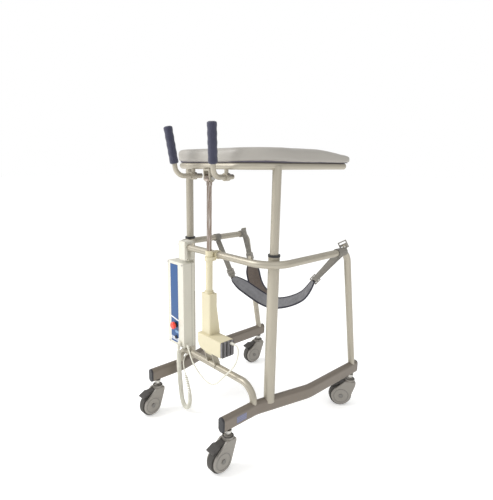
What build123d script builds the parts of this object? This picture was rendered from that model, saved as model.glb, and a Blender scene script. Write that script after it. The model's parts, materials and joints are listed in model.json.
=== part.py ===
from build123d import *
import math
import os

# Sit to stand lift: a wheeled frame with two telescopic columns, a central electric actuator that
# raises a horseshoe forearm pad, upright hand grips, a fixed waist-high rail and a hanging sling.
# Millimetres. +Z up, -Y the front (grips and control box), +Y the open side, origin on the floor.

# ---- driving dimensions -------------------------------------------------------------------
WHEEL_D = 100.0          # castor wheel
WHEEL_W = 26.0
TRAIL = 40.0             # castor axle behind its stem
HOUSING_TOP = 129.0      # top of the castor housing
RAIL_Z = 183.0           # centre of the side rails
RAIL_H = 60.0            # flat-oval rail section
RAIL_W = 30.0
RAIL_WALL = 2.5
FRONT_X = 236.0          # rails: half distance at the front and at the rear
REAR_X = 294.0
STEM_Y = 355.0           # castor stems, front and rear
RAIL_END_Y = 384.0
COLUMN_X = 250.0
COLUMN_Y = -153.0
OUTER_D = 42.0           # outer column tube
OUTER_WALL = 2.5
INNER_D = 32.0           # inner column tube
INNER_WALL = 2.0
COLUMN_TOP = 771.0
RAIL_TOP = RAIL_Z + RAIL_H / 2
HANDRAIL_D = 28.0
HANDRAIL_Z = 748.0
HANDRAIL_X = 296.0
HANDRAIL_FRONT_Y = -216.0
CROSS_Z = 275.0          # cross tube centreline
CROSS_Y = -226.0
LIFT_DOWN = 250.0        # travel of the lift below and above the modelled height
LIFT_UP = 20.0
FRAME_D = 25.0           # pad frame tube
FRAME_Z = 1088.5
FRAME_X = 250.0
FRAME_FRONT_Y = -250.0
FRAME_REAR_Y = 248.0
PAD_X = 275.0            # forearm pad outline
PAD_FRONT_Y = -272.0
PAD_REAR_Y = 306.0
PAD_CORNER = 150.0
PAD_THICK = 50.0
PAD_OPENING = 118.0      # half width of the opening between the pad's arms
PAD_Z = FRAME_Z + FRAME_D / 2
ACT_Y = -249.0           # actuator axis
ROD_D = 20.0
TUBE_D = 27.0
CLEVIS_Z = 1043.0
GRIP_D = 34.0
HANDLE_D = 19.0
HANDLE_Z = 1050.0
CLAMP_X = 98.0
BOX_X = -234.0           # control box
BOX_W = 120.0
BOX_FRONT = -250.0
BOX_BACK = -190.0
BOX_BOTTOM = 289.5
BOX_TOP = 680.0
CASTORS = {
    "front_right": (FRONT_X, -STEM_Y, -90.0),
    "front_left": (-FRONT_X, -STEM_Y, -88.0),
    "rear_right": (REAR_X, STEM_Y, -135.0),
    "rear_left": (-REAR_X, STEM_Y, -100.0),
}

os.makedirs("parts", exist_ok=True)


def save(name, *solids):
    """Write one node: a single solid, or a group of separate solids."""
    shape = solids[0] if len(solids) == 1 else Compound(children=list(solids))
    export_step(shape, f"parts/{name}.step")


def section_plane(path):
    """Plane square to the start of a path."""
    return Plane(origin=path @ 0, z_dir=path % 0)


def round_tube(points, radii, diameter, wall=None):
    """Round tube or bar along straight runs and tangent arcs."""
    path = FilletPolyline(*points, radius=radii) if radii else Line(*points)
    section = Circle(diameter / 2)
    if wall:
        section -= Circle(diameter / 2 - wall)
    return sweep(section_plane(path) * section, path=path)


def rod(start, end, diameter, hole=0.0):
    """Straight round bar or sleeve between two points."""
    axis = Vector(*end) - Vector(*start)
    section = Circle(diameter / 2)
    if hole:
        section -= Circle(hole / 2)
    return extrude(Plane(origin=start, z_dir=axis) * section, amount=axis.length)


def block(x, y, z, fillet_radius=0.0):
    """Box from its limits along X, Y and Z, with its edges rounded if asked."""
    size = [b - a for a, b in (x, y, z)]
    centre = [(a + b) / 2 for a, b in (x, y, z)]
    body = Pos(*centre) * Box(*size)
    if fillet_radius:
        body = fillet(body.edges(), fillet_radius)
    return body


def cord_radii(points):
    """Largest arc that two runs allow at each corner: 0.45 of the shorter run over tan(half turn)."""
    places = [Vector(*p) for p in points]
    radii = []
    for before, here, after in zip(places, places[1:], places[2:]):
        run_in = here - before
        run_out = after - here
        half_turn = math.radians(run_in.get_angle(run_out)) / 2
        radii.append(0.45 * min(run_in.length, run_out.length) / math.tan(half_turn))
    return radii


def cord_tube(name, points, diameter):
    """Cord along its route, with its length, arc radii and volume check printed."""
    radii = cord_radii(points)
    path = FilletPolyline(*points, radius=radii)
    tube = sweep(section_plane(path) * Circle(diameter / 2), path=path)
    expected = math.pi * diameter**2 / 4 * path.length
    print(name, "length", round(path.length), "radii", [round(r) for r in radii])
    print(name, "volume over section times length", round(tube.volume / expected, 4))
    return tube


# ---- base: side rails, end caps, castor stems, cross tube ---------------------------------
def side_rail(side, solid=False):
    """Flat-oval rail, straight at the front and rear with a flared middle."""
    path = FilletPolyline(
        (side * FRONT_X, -RAIL_END_Y, RAIL_Z),
        (side * FRONT_X, -212, RAIL_Z),
        (side * REAR_X, 40, RAIL_Z),
        (side * REAR_X, RAIL_END_Y, RAIL_Z),
        radius=[130, 200],
    )
    plane = Plane(origin=path @ 0, x_dir=(1, 0, 0), z_dir=(0, 1, 0))
    oval = SlotOverall(RAIL_H, RAIL_W, rotation=90)
    bore = SlotOverall(RAIL_H - 2 * RAIL_WALL, RAIL_W - 2 * RAIL_WALL, rotation=90)
    return sweep(plane * (oval if solid else oval - bore), path=path)


def end_cap(x, y, outwards):
    """Push-in cap: a rounded head outside the rail and a plug inside it."""
    plane = Plane(origin=(x, y, RAIL_Z), x_dir=(1, 0, 0), z_dir=(0, outwards, 0))
    head = extrude(plane * SlotOverall(RAIL_H, RAIL_W, rotation=90), amount=7)
    head = fillet(head.faces().sort_by(Axis.Y)[-1 if outwards > 0 else 0].edges(), 4)
    clear = 2 * RAIL_WALL + 0.4
    plug = SlotOverall(RAIL_H - clear, RAIL_W - clear, rotation=90)
    return head + extrude(plane * plug, amount=-16)


def castor_stem(x, y):
    """Steel stem under a welded collar, turning in the castor housing."""
    underside = RAIL_Z - RAIL_H / 2
    collar = rod((x, y, underside - 9), (x, y, underside), 28)
    return collar + rod((x, y, HOUSING_TOP - 21), (x, y, underside - 9), 19)


save("side_rails", side_rail(1), side_rail(-1))
RAIL_BODIES = [side_rail(1, solid=True), side_rail(-1, solid=True)]
FOOT_Z = RAIL_Z + RAIL_H / 2 - RAIL_W / 2


def on_rails(tube):
    """Cut a tube's feet to the round top of the rails."""
    for body in RAIL_BODIES:
        tube -= body
    return tube


save(
    "rail_end_caps",
    *[end_cap(side * FRONT_X, -RAIL_END_Y, -1) for side in (1, -1)],
    *[end_cap(side * REAR_X, RAIL_END_Y, 1) for side in (1, -1)],
)
save("castor_stems", *[castor_stem(x, y) for x, y, yaw in CASTORS.values()])


def cross_tube():
    """Arched tube between the two rails, in front of the columns."""
    half = [
        (-FRONT_X, CROSS_Y, FOOT_Z),
        (-FRONT_X, CROSS_Y, RAIL_TOP + 25),
        (-FRONT_X + 40, CROSS_Y, CROSS_Z),
    ]
    other_half = [(-x, y, z) for x, y, z in reversed(half)]
    return on_rails(round_tube(half + other_half, [56, 62, 62, 56], HANDRAIL_D, 2.5))


save("cross_tube", cross_tube())


# ---- castors: housing, wheel and lock pedal, built trailing along +X from the stem ---------
AXLE_D = 8.0
HOUSING_W = 46.0
CHEEK_R = 43.0
PEDAL_PIVOT = (24.0, 111.0)
PEDAL_PIN_D = 5.0


def castor_housing():
    """Two-cheek plastic housing with a stem socket, the axle bolt and the pedal's ears."""
    cheek = (TRAIL, WHEEL_D / 2)
    outline = make_hull(
        (Pos(*cheek) * Circle(CHEEK_R)).edges()
        + (Pos(1, HOUSING_TOP - 18) * Rectangle(46, 18)).edges()
    )
    body = extrude(Plane.XZ * outline, amount=HOUSING_W / 2, both=True)
    body = fillet(body.edges().filter_by(GeomType.LINE, reverse=True), 3)
    body += rod((0, 0, HOUSING_TOP - 14), (0, 0, HOUSING_TOP), 44)
    wheel_well = rod(
        (TRAIL, -WHEEL_W / 2 - 1.5, WHEEL_D / 2), (TRAIL, WHEEL_W / 2 + 1.5, WHEEL_D / 2), WHEEL_D + 5
    )
    body -= wheel_well
    body -= block((PEDAL_PIVOT[0] - 7, 90), (-15, 15), (WHEEL_D + 2, HOUSING_TOP + 2))
    body -= rod((0, 0, HOUSING_TOP - 22), (0, 0, HOUSING_TOP + 1), 19.6)
    axle_end = HOUSING_W / 2 + 2
    body += rod((TRAIL, -axle_end, WHEEL_D / 2), (TRAIL, axle_end, WHEEL_D / 2), AXLE_D)
    pin_x, pin_z = PEDAL_PIVOT
    body += rod((pin_x, -20, pin_z), (pin_x, 20, pin_z), PEDAL_PIN_D)
    return body


def castor_wheel():
    """Wheel with a rounded tread, a recessed web and a bore that runs on the axle bolt."""
    half = WHEEL_W / 2
    centre = (TRAIL, 0, WHEEL_D / 2)
    tread = rod((TRAIL, -half, WHEEL_D / 2), (TRAIL, half, WHEEL_D / 2), WHEEL_D)
    tread = fillet(tread.edges(), 8)
    for side in (1, -1):
        recess = rod((TRAIL, side * (half - 6), WHEEL_D / 2), (TRAIL, side * half, WHEEL_D / 2), 68, 26)
        tread -= recess
    bore = rod((TRAIL, -half, WHEEL_D / 2), (TRAIL, half, WHEEL_D / 2), AXLE_D + 0.1)
    return tread - bore


def castor_pedal():
    """Foot pedal on its cross pin, reaching out over the wheel."""
    x, z = PEDAL_PIVOT
    lever = Polyline(
        (x - 4, z - 4), (x + 30, z - 5), (x + 62, z - 17), (x + 65, z - 11), (x + 34, z + 4),
        (x, z + 6), (x - 4, z + 4), close=True,
    )
    pedal = extrude(Plane.XZ * make_face(lever), amount=13.5, both=True)
    pad = extrude(
        Plane.XZ * make_face(Polyline(
            (x + 28, z - 4), (x + 62, z - 17), (x + 65, z - 11), (x + 34, z + 4), close=True)),
        amount=18, both=True,
    )
    pedal = pedal + pad
    return pedal - rod((x, -20, z), (x, 20, z), PEDAL_PIN_D + 0.1)


for corner, (stem_x, stem_y, yaw) in CASTORS.items():
    place = Pos(stem_x, stem_y, 0) * Rot(0, 0, yaw)
    save(f"castor_housing_{corner}", place * castor_housing())
    save(f"castor_wheel_{corner}", place * castor_wheel())
    save(f"castor_pedal_{corner}", place * castor_pedal())


# ---- pad frame and waist rail tubes, which other pieces are cut to fit ----------------------
LEG_FOOT_Y = 356.0
LEG_TOP_Y = 246.0


def pad_frame_bar(wall):
    """Bent U tube under the pad, open at the rear."""
    points = [
        (FRAME_X, FRAME_REAR_Y, FRAME_Z),
        (FRAME_X, FRAME_FRONT_Y, FRAME_Z),
        (-FRAME_X, FRAME_FRONT_Y, FRAME_Z),
        (-FRAME_X, FRAME_REAR_Y, FRAME_Z),
    ]
    return round_tube(points, [125, 125], FRAME_D, wall)


def handrail_bar(wall):
    """One bent tube: rear legs, sides and a front bar that passes outside the columns."""
    half = [
        (HANDRAIL_X - 2, LEG_FOOT_Y + 2, FOOT_Z),
        (HANDRAIL_X, LEG_TOP_Y, HANDRAIL_Z),
        (HANDRAIL_X, HANDRAIL_FRONT_Y, HANDRAIL_Z),
    ]
    other_half = [(-x, y, z) for x, y, z in reversed(half)]
    return round_tube(half + other_half, [58, 98, 98, 58], HANDRAIL_D, wall)


save("handrail", on_rails(handrail_bar(2.0)))
save("pad_frame", pad_frame_bar(2.0))


# ---- columns -------------------------------------------------------------------------------
BUSH_H = 34.0
INNER_FOOT = 470.0


def outer_column(x):
    """Outer tube from the rail to the guide bush."""
    foot, rim = [(x, COLUMN_Y, z) for z in (FOOT_Z - 4, COLUMN_TOP)]
    return on_rails(rod(foot, rim, OUTER_D, OUTER_D - 2 * OUTER_WALL))


def column_bush(x):
    """Plastic guide bush: a sleeve in the outer tube under a collar on its rim."""
    bore = INNER_D + 0.1
    foot, rim, top = [(x, COLUMN_Y, z) for z in (COLUMN_TOP - BUSH_H, COLUMN_TOP, COLUMN_TOP + 8)]
    sleeve = rod(foot, rim, OUTER_D - 2 * OUTER_WALL - 0.1, bore)
    return sleeve + rod(rim, top, OUTER_D + 3, bore)


def inner_column(x):
    """Inner tube carried by the pad frame."""
    tube = rod((x, COLUMN_Y, INNER_FOOT), (x, COLUMN_Y, FRAME_Z), INNER_D, INNER_D - 2 * INNER_WALL)
    return tube - pad_frame_bar(None)


save("outer_columns", *[outer_column(side * COLUMN_X) for side in (1, -1)])
save("column_bushes", *[column_bush(side * COLUMN_X) for side in (1, -1)])
save("inner_columns", *[inner_column(side * COLUMN_X) for side in (1, -1)])


# ---- sling hooks on the waist rail ----------------------------------------------------------
def rear_hook(side):
    """Flat plate standing on the side rail at the rear bend, slotted for the sling's loop."""
    top = HANDRAIL_Z + HANDRAIL_D / 2
    plate = block((-2.5, 2.5), (-12, 12), (top - 29, top + 15))
    plate -= block((-4, 4), (-7, 7), (top + 2, top + 8))
    return Pos(side * HANDRAIL_X, 229, 0) * plate - handrail_bar(None)


def front_lug(x):
    """Small lug on top of the front bar."""
    top = HANDRAIL_Z + HANDRAIL_D / 2
    lug = block((x - 7, x + 7), (HANDRAIL_FRONT_Y - 2.5, HANDRAIL_FRONT_Y + 2.5), (top - 10, top + 9))
    return lug - handrail_bar(None)


save("sling_hooks", rear_hook(1), rear_hook(-1), front_lug(192), front_lug(-144))


# ---- actuator: fixed part -------------------------------------------------------------------
MOTOR_X = (-35.0, 107.0)
MOTOR_Y = (-282.0, -216.0)
MOTOR_Z = (359.0, 424.0)
BASE_PIN = (ACT_Y + 4, 338.0)
SHELL = 3.0
SPINDLE_TOP = 594.0
TUBE_TOP = 758.0
SCREW_D = 12.0
NUT_D = 22.0


def motor_outline(inset):
    """Side view of the motor housing: a box with one large rounded lower corner."""
    left, right = MOTOR_X[0] + inset, MOTOR_X[1]
    low, high = MOTOR_Z[0] + inset, MOTOR_Z[1] - inset
    outline = make_face(Polyline((left, low), (right, low), (right, high), (left, high), close=True))
    corner = outline.vertices().sort_by(Axis.X)[:2].sort_by(Axis.Y)[0]
    return fillet(corner, 34 - inset)


def motor_housing():
    """Cast housing, open at the cover end, with a passage up into the gear housing."""
    depth = MOTOR_Y[1] - MOTOR_Y[0]
    plane = Plane(origin=(0, MOTOR_Y[1], 0), x_dir=(1, 0, 0), z_dir=(0, -1, 0))
    body = extrude(plane * motor_outline(0), amount=depth)
    body = fillet(body.edges().group_by(Axis.Y)[0] + body.edges().group_by(Axis.Y)[-1], 3)
    inner = plane.offset(SHELL)
    body -= extrude(inner * motor_outline(SHELL), amount=depth - 2 * SHELL)
    return body - rod((0, ACT_Y, MOTOR_Z[1] - 6), (0, ACT_Y, MOTOR_Z[1] + 1), 25)


def gear_housing():
    """Tapered housing above the motor, with a bore for the push rod and its nut."""
    low, high = MOTOR_Z[1], SPINDLE_TOP
    side_view = make_face(Polyline(
        (-268, low), (MOTOR_Y[1] + 2, low), (-229, low + 96), (-229, high), (-268, high), close=True))
    plane = Plane(origin=(27, 0, 0), x_dir=(0, 1, 0), z_dir=(1, 0, 0))
    body = extrude(plane * side_view, amount=-54)
    body = fillet(body.edges().filter_by(Axis.Z), 6)
    body += rod((0, ACT_Y, high), (0, ACT_Y, high + 9), 36)
    return body - rod((0, ACT_Y, low - 1), (0, ACT_Y, high + 10), TUBE_D + 0.2)


def fork():
    """Saddle on the cross tube with two ears for the base pin."""
    saddle = rod((-26, CROSS_Y, CROSS_Z), (26, CROSS_Y, CROSS_Z), HANDRAIL_D + 6, HANDRAIL_D + 0.1)
    saddle -= block((-27, 27), (CROSS_Y - 30, CROSS_Y + 30), (CROSS_Z - 30, CROSS_Z - 2))
    ears = []
    for x in (-26, 21):
        outline = make_hull(
            (Pos(CROSS_Y, CROSS_Z + 15) * Rectangle(26, 8)).edges()
            + (Pos(*BASE_PIN) * Circle(10)).edges()
        )
        ears.append(extrude(Plane(origin=(x, 0, 0), x_dir=(0, 1, 0), z_dir=(1, 0, 0)) * outline, amount=5))
    body = saddle + ears[0] + ears[1]
    body -= rod((-40, CROSS_Y, CROSS_Z), (40, CROSS_Y, CROSS_Z), HANDRAIL_D + 0.1)
    return body - rod((-40, *BASE_PIN), (40, *BASE_PIN), 10.1)


def base_lug():
    """Lug under the motor housing, held in the fork by the base pin."""
    lug = rod((-20.5, *BASE_PIN), (20.5, *BASE_PIN), 20, 10.1)
    stand = block((-20.5, 20.5), (ACT_Y - 6, ACT_Y + 14), (BASE_PIN[1] + 2, MOTOR_Z[0]))
    stand -= rod((-40, *BASE_PIN), (40, *BASE_PIN), 18)
    return lug + stand


def base_pin():
    """Headed pin through the fork and the lug."""
    pin = rod((-30, *BASE_PIN), (30, *BASE_PIN), 10)
    return pin + rod((-34, *BASE_PIN), (-30, *BASE_PIN), 16)


def drive_motor():
    """Motor can lying along the housing, with its shaft ending in a worm."""
    y, z = ACT_Y + 14, 392
    can = rod((34, y, z), (100, y, z), 30)
    return can + rod((-18, y, z), (34, y, z), 8) + rod((-14, y, z), (14, y, z), 13)


def motor_cover():
    """Ribbed end cover screwed on the open end of the motor housing."""
    def layer(x, inset):
        """Block across the housing's end, inset from its outline."""
        across = (MOTOR_Y[0] + inset, MOTOR_Y[1] - inset)
        return block(x, across, (MOTOR_Z[0] + inset, MOTOR_Z[1] - inset))

    joint = MOTOR_X[1]
    plate = layer((joint, joint + 7), 1)
    plate = fillet(plate.edges().filter_by(Axis.X), 6)
    for groove_y in range(-270, -225, 11):
        groove = (groove_y, groove_y + 4)
        plate -= block((joint + 5.5, joint + 8), groove, (MOTOR_Z[0] + 9, MOTOR_Z[1] - 9))
    return plate + layer((joint - 5, joint), SHELL + 0.3)


def actuator_tube():
    """Guide tube fixed in the gear housing."""
    return rod((0, ACT_Y, MOTOR_Z[1] + 4), (0, ACT_Y, TUBE_TOP), TUBE_D, TUBE_D - 4)


def wiper_collar():
    """Wiper on the tube's mouth."""
    cap = rod((0, ACT_Y, TUBE_TOP), (0, ACT_Y, TUBE_TOP + 8), TUBE_D + 3, ROD_D + 0.16)
    skirt = rod((0, ACT_Y, TUBE_TOP - 14), (0, ACT_Y, TUBE_TOP), TUBE_D + 3, TUBE_D + 0.1)
    return cap + skirt


def actuator_clamp():
    """Dark clamp that ties the actuator tube to the waist rail's front bar."""
    low, high = HANDRAIL_Z - 22, HANDRAIL_Z - 6
    ring = rod((0, ACT_Y, low), (0, ACT_Y, high), TUBE_D + 9, TUBE_D + 0.1)
    bar_left, bar_right = [(x, HANDRAIL_FRONT_Y, HANDRAIL_Z) for x in (2, 20)]
    strap = rod(bar_left, bar_right, HANDRAIL_D + 7, HANDRAIL_D + 0.1)
    web = block((3, 13), (ACT_Y + 10, HANDRAIL_FRONT_Y - 8), (low, high))
    web -= rod(bar_left, bar_right, HANDRAIL_D + 2)
    web -= rod((0, ACT_Y, low - 8), (0, ACT_Y, high + 6), TUBE_D + 2)
    return ring + strap + web


save("actuator_fork", fork())
save("actuator_base_pin", base_pin())
save("motor_housing", motor_housing() + base_lug())
save("motor_end_cover", motor_cover())
save("drive_motor", drive_motor())
save("gear_housing", gear_housing())
save("actuator_tube", actuator_tube())
save("wiper_collar", wiper_collar())
save("actuator_clamp", actuator_clamp())


# ---- actuator: lead screw, nut and push rod -------------------------------------------------
SCREW_FOOT = 368.0
SCREW_TOP = 730.0
ROD_FOOT = 684.0


def lead_screw():
    """Screw with its worm wheel near the foot."""
    screw = rod((0, ACT_Y, SCREW_FOOT), (0, ACT_Y, SCREW_TOP), SCREW_D)
    return screw + rod((0, ACT_Y, SCREW_FOOT + 16), (0, ACT_Y, SCREW_FOOT + 32), 14)


def spindle_nut():
    """Bronze nut in the foot of the push rod."""
    return rod((0, ACT_Y, ROD_FOOT - 20), (0, ACT_Y, ROD_FOOT), NUT_D, SCREW_D + 0.3)


def push_rod():
    """Steel push rod, hollow for the screw, with a flattened eye at its top."""
    shaft = rod((0, ACT_Y, ROD_FOOT), (0, ACT_Y, CLEVIS_Z - 14), ROD_D)
    shaft -= rod((0, ACT_Y, ROD_FOOT - 1), (0, ACT_Y, CLEVIS_Z - 40), SCREW_D + 2)
    eye = rod((-12, ACT_Y, CLEVIS_Z), (12, ACT_Y, CLEVIS_Z), 30)
    shaft += eye + rod((0, ACT_Y, CLEVIS_Z - 26), (0, ACT_Y, CLEVIS_Z - 8), 23)
    return shaft - rod((-20, ACT_Y, CLEVIS_Z), (20, ACT_Y, CLEVIS_Z), 10.1)


save("lead_screw", lead_screw())
save("spindle_nut", spindle_nut())
save("push_rod", push_rod())


# ---- carriage: pad frame, clevis, board and pad ---------------------------------------------
def lift_clevis():
    """Two ears hanging from the front of the pad frame."""
    ears = []
    for x in (-18, 13):
        outline = make_hull(
            (Pos(ACT_Y, FRAME_Z - 14) * Rectangle(30, 8)).edges()
            + (Pos(ACT_Y, CLEVIS_Z) * Circle(13)).edges()
        )
        ears.append(extrude(Plane(origin=(x, 0, 0), x_dir=(0, 1, 0), z_dir=(1, 0, 0)) * outline, amount=5))
    bridge = block((-18, 18), (ACT_Y - 15, ACT_Y + 15), (FRAME_Z - 18, FRAME_Z - FRAME_D / 2 + 2))
    clevis = ears[0] + ears[1] + bridge - pad_frame_bar(None)
    return clevis - rod((-30, ACT_Y, CLEVIS_Z), (30, ACT_Y, CLEVIS_Z), 10.1)


def clevis_bolt():
    """Hexagon bolt and nut through the clevis and the rod's eye."""
    shank = rod((-23, ACT_Y, CLEVIS_Z), (24, ACT_Y, CLEVIS_Z), 10)
    hexagon = RegularPolygon(9, 6)
    head = extrude(Plane(origin=(18.1, ACT_Y, CLEVIS_Z), z_dir=(1, 0, 0)) * hexagon, amount=7)
    nut = extrude(Plane(origin=(-18.1, ACT_Y, CLEVIS_Z), z_dir=(-1, 0, 0)) * hexagon, amount=8)
    return shank + head + nut


def horseshoe(inset):
    """Plan of the pad: a horseshoe with large front corners, open at the rear."""
    outer_x, front, rear = PAD_X - inset, PAD_FRONT_Y + inset, PAD_REAR_Y - inset
    hole_x = PAD_OPENING + inset
    hole_front = -40 - inset
    outline = make_face(Polyline(
        (outer_x, front), (outer_x, rear), (hole_x, rear), (hole_x, hole_front),
        (-hole_x, hole_front), (-hole_x, rear), (-outer_x, rear), (-outer_x, front), close=True))
    corners = outline.vertices()
    front_corners = corners.group_by(Axis.Y)[0]
    outline = fillet(front_corners, PAD_CORNER - inset)
    hole_corners = [v for v in outline.vertices() if abs(v.Y - hole_front) < 0.01]
    outline = fillet(hole_corners, 100)
    tips = [v for v in outline.vertices() if abs(v.Y - rear) < 0.01]
    return fillet(tips, 62 - inset)


BOARD_INSET = 14.0
BOARD_T = 12.0


def pad_board():
    """Plywood board on the frame, under the padding."""
    return extrude(Plane.XY.offset(PAD_Z) * horseshoe(BOARD_INSET), amount=BOARD_T)


def forearm_pad():
    """Padded horseshoe that wraps the board, as a plain closed solid."""
    body = extrude(Plane.XY.offset(PAD_Z) * horseshoe(0), amount=PAD_THICK)
    body = fillet(body.edges().group_by(Axis.Z)[-1], 12)
    return body - extrude(Plane.XY.offset(PAD_Z - 1) * horseshoe(BOARD_INSET), amount=BOARD_T + 1)


save("lift_clevis", lift_clevis())
save("clevis_bolt", clevis_bolt())
save("pad_board", pad_board())
save("forearm_pad", forearm_pad())


# ---- hand grips -----------------------------------------------------------------------------
def handle_points(side):
    """Centreline of one handle, from its rear end to the top of its grip."""
    return [
        (side * 90.0, -214.0, HANDLE_Z),
        (side * 109.0, -321.0, HANDLE_Z),
        (side * 128.0, -344.0, 1228.0),
    ]


def grip_axis(side):
    """Foot and top of a grip on the handle's upper run."""
    low, high = [Vector(*p) for p in handle_points(side)[1:]]
    along = (high - low).normalized()
    return low + along * 46, high + along * 4


def handle(side):
    """Bent handle tube."""
    return round_tube(handle_points(side), [38], HANDLE_D, 2.0)


def grip(side):
    """Foam grip with a closed top, pushed over the handle."""
    foot, top = grip_axis(side)
    along = (top - foot).normalized()
    sleeve = rod(tuple(foot), tuple(top), GRIP_D)
    sleeve = fillet(sleeve.edges(), 5)
    return sleeve - rod(tuple(foot - along * 5), tuple(top - along * 4), HANDLE_D + 0.1)


def handle_clamp(side):
    """Clamp ring on the handle's level run, on a short post under the pad frame."""
    rear, corner = [Vector(*p) for p in handle_points(side)[:2]]
    along = (corner - rear).normalized()
    middle = rear + along * 36
    ring = rod(tuple(middle - along * 11), tuple(middle + along * 11), HANDLE_D + 10, HANDLE_D + 0.16)
    post = rod((middle.X, middle.Y, HANDLE_Z + 8), (middle.X, middle.Y, FRAME_Z), 15)
    post -= rod(tuple(middle - along * 30), tuple(middle + along * 30), HANDLE_D + 6)
    post -= pad_frame_bar(None)
    return ring + post


for side, word in ((1, "right"), (-1, "left")):
    save(f"handle_{word}", handle(side))
    save(f"grip_{word}", grip(side))
save("handle_clamps", *[handle_clamp(side) for side in (1, -1)])


# ---- control box ----------------------------------------------------------------------------
BOX_LEFT = BOX_X - BOX_W / 2
BOX_RIGHT = BOX_X + BOX_W / 2
BOX_SPLIT = -205.0
BOX_WALL = 3.0
PANEL_W = 56.0
PANEL_X = BOX_X - 8.0
ESTOP_X = BOX_X
ESTOP_Z = 388.0
SCREW_SPACING_X = 102.0
SCREW_SPACING_Z = 374.0


def box_shell(front, back, open_face):
    """Half of the box, hollow and open on the face where the halves meet."""
    body = block((BOX_LEFT, BOX_RIGHT), (front, back), (BOX_BOTTOM, BOX_TOP))
    body = fillet(body.edges().filter_by(Axis.Y), 7)
    rim = body.edges().group_by(Axis.Y)[0 if open_face > 0 else -1]
    body = fillet(rim, 2.5)
    inner_front = front - 1 if open_face < 0 else front + BOX_WALL
    inner_back = back + 1 if open_face > 0 else back - BOX_WALL
    cavity = block(
        (BOX_LEFT + BOX_WALL, BOX_RIGHT - BOX_WALL), (inner_front, inner_back),
        (BOX_BOTTOM + BOX_WALL, BOX_TOP - BOX_WALL),
    )
    return body - fillet(cavity.edges().filter_by(Axis.Y), 4)


def box_front():
    """Front half with a recess for the blue panel, the stop button's hole and the screw holes."""
    body = box_shell(BOX_FRONT, BOX_SPLIT, 1)
    body -= block(
        (PANEL_X - PANEL_W / 2, PANEL_X + PANEL_W / 2), (BOX_FRONT - 1, BOX_FRONT + 1.5),
        (BOX_BOTTOM + 14, BOX_TOP - 12),
    )
    body -= rod((ESTOP_X, BOX_FRONT - 1, ESTOP_Z), (ESTOP_X, BOX_FRONT + 10, ESTOP_Z), 16.1)
    for x, z in screw_places():
        body -= rod((x, BOX_FRONT - 1, z), (x, BOX_FRONT + 10, z), 4.2)
    return body


def screw_places():
    """Corner screws of the box, about its middle."""
    middle_z = (BOX_TOP + BOX_BOTTOM) / 2
    return [
        (BOX_X + sx * SCREW_SPACING_X / 2, middle_z + sz * SCREW_SPACING_Z / 2)
        for sx in (1, -1) for sz in (1, -1)
    ]


def control_panel():
    """Thin blue panel in the front half's recess."""
    plate = block(
        (PANEL_X - PANEL_W / 2 + 0.2, PANEL_X + PANEL_W / 2 - 0.2), (BOX_FRONT - 0.5, BOX_FRONT + 1.5),
        (BOX_BOTTOM + 14.2, BOX_TOP - 12.2),
    )
    return plate - rod((ESTOP_X, BOX_FRONT - 3, ESTOP_Z), (ESTOP_X, BOX_FRONT + 10, ESTOP_Z), 16.1)


def estop_collar():
    """Yellowed collar and threaded bush of the stop button."""
    flange = rod((ESTOP_X, BOX_FRONT - 5, ESTOP_Z), (ESTOP_X, BOX_FRONT - 0.5, ESTOP_Z), 26)
    bush = rod((ESTOP_X, BOX_FRONT - 0.5, ESTOP_Z), (ESTOP_X, BOX_FRONT + 22, ESTOP_Z), 16)
    return (flange + bush) - rod((ESTOP_X, BOX_FRONT - 8, ESTOP_Z), (ESTOP_X, BOX_FRONT + 14, ESTOP_Z), 10.1)


def estop_button():
    """Red mushroom head on its plunger."""
    head = rod((ESTOP_X, BOX_FRONT - 24, ESTOP_Z), (ESTOP_X, BOX_FRONT - 11, ESTOP_Z), 32)
    head = fillet(head.edges().group_by(Axis.Y)[0], 6)
    head = fillet(head.edges().group_by(Axis.Y)[-1], 2)
    return head + rod((ESTOP_X, BOX_FRONT - 12, ESTOP_Z), (ESTOP_X, BOX_FRONT + 8, ESTOP_Z), 10)


def hanger():
    """Hook block over the waist rail's front bar, joined by a plate to the back of the box."""
    hook = block((-220, -174), (-240, -190), (692, 774), 4) - handrail_bar(None)
    hook -= block((-230, -160), (HANDRAIL_FRONT_Y - 11, HANDRAIL_FRONT_Y + 11), (678, HANDRAIL_Z))
    plate = block((-218, -176), (BOX_BACK, BOX_BACK + 5), (548, 758))
    return hook + plate


def gland(x, y, z, direction, length, diameter, bore):
    """Tapered strain relief round a cable, as a short cone with a collar."""
    plane = Plane(origin=(x, y, z), z_dir=direction)
    body = extrude(plane * Circle(diameter / 2), amount=length, taper=math.degrees(math.atan(
        (diameter - bore - 4) / 2 / length)))
    return body


save("control_box_front", box_front())
save("control_box_back", box_shell(BOX_SPLIT, BOX_BACK, -1))
save("control_panel", control_panel())
save("estop_collar", estop_collar())
save("estop_button", estop_button())
save("hanger_bracket", hanger())
save("battery_pack", block((BOX_LEFT + 12, BOX_RIGHT - 12), (BOX_FRONT + 12, BOX_BACK - 5), (468, 648), 3))
save("circuit_board", block((BOX_LEFT + 10, BOX_RIGHT - 10), (BOX_SPLIT + 6, BOX_SPLIT + 8), (298, 438)))


# ---- handset behind the box, with its two buttons -------------------------------------------
HANDSET_X = (-304.0, -280.0)
HANDSET_Y = (-172.0, -126.0)
HANDSET_Z = (458.0, 588.0)
BUTTON_D = 16.0


def handset_middle():
    """Middle of the handset across its width and along its thickness."""
    return (HANDSET_Y[0] + HANDSET_Y[1]) / 2


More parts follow.
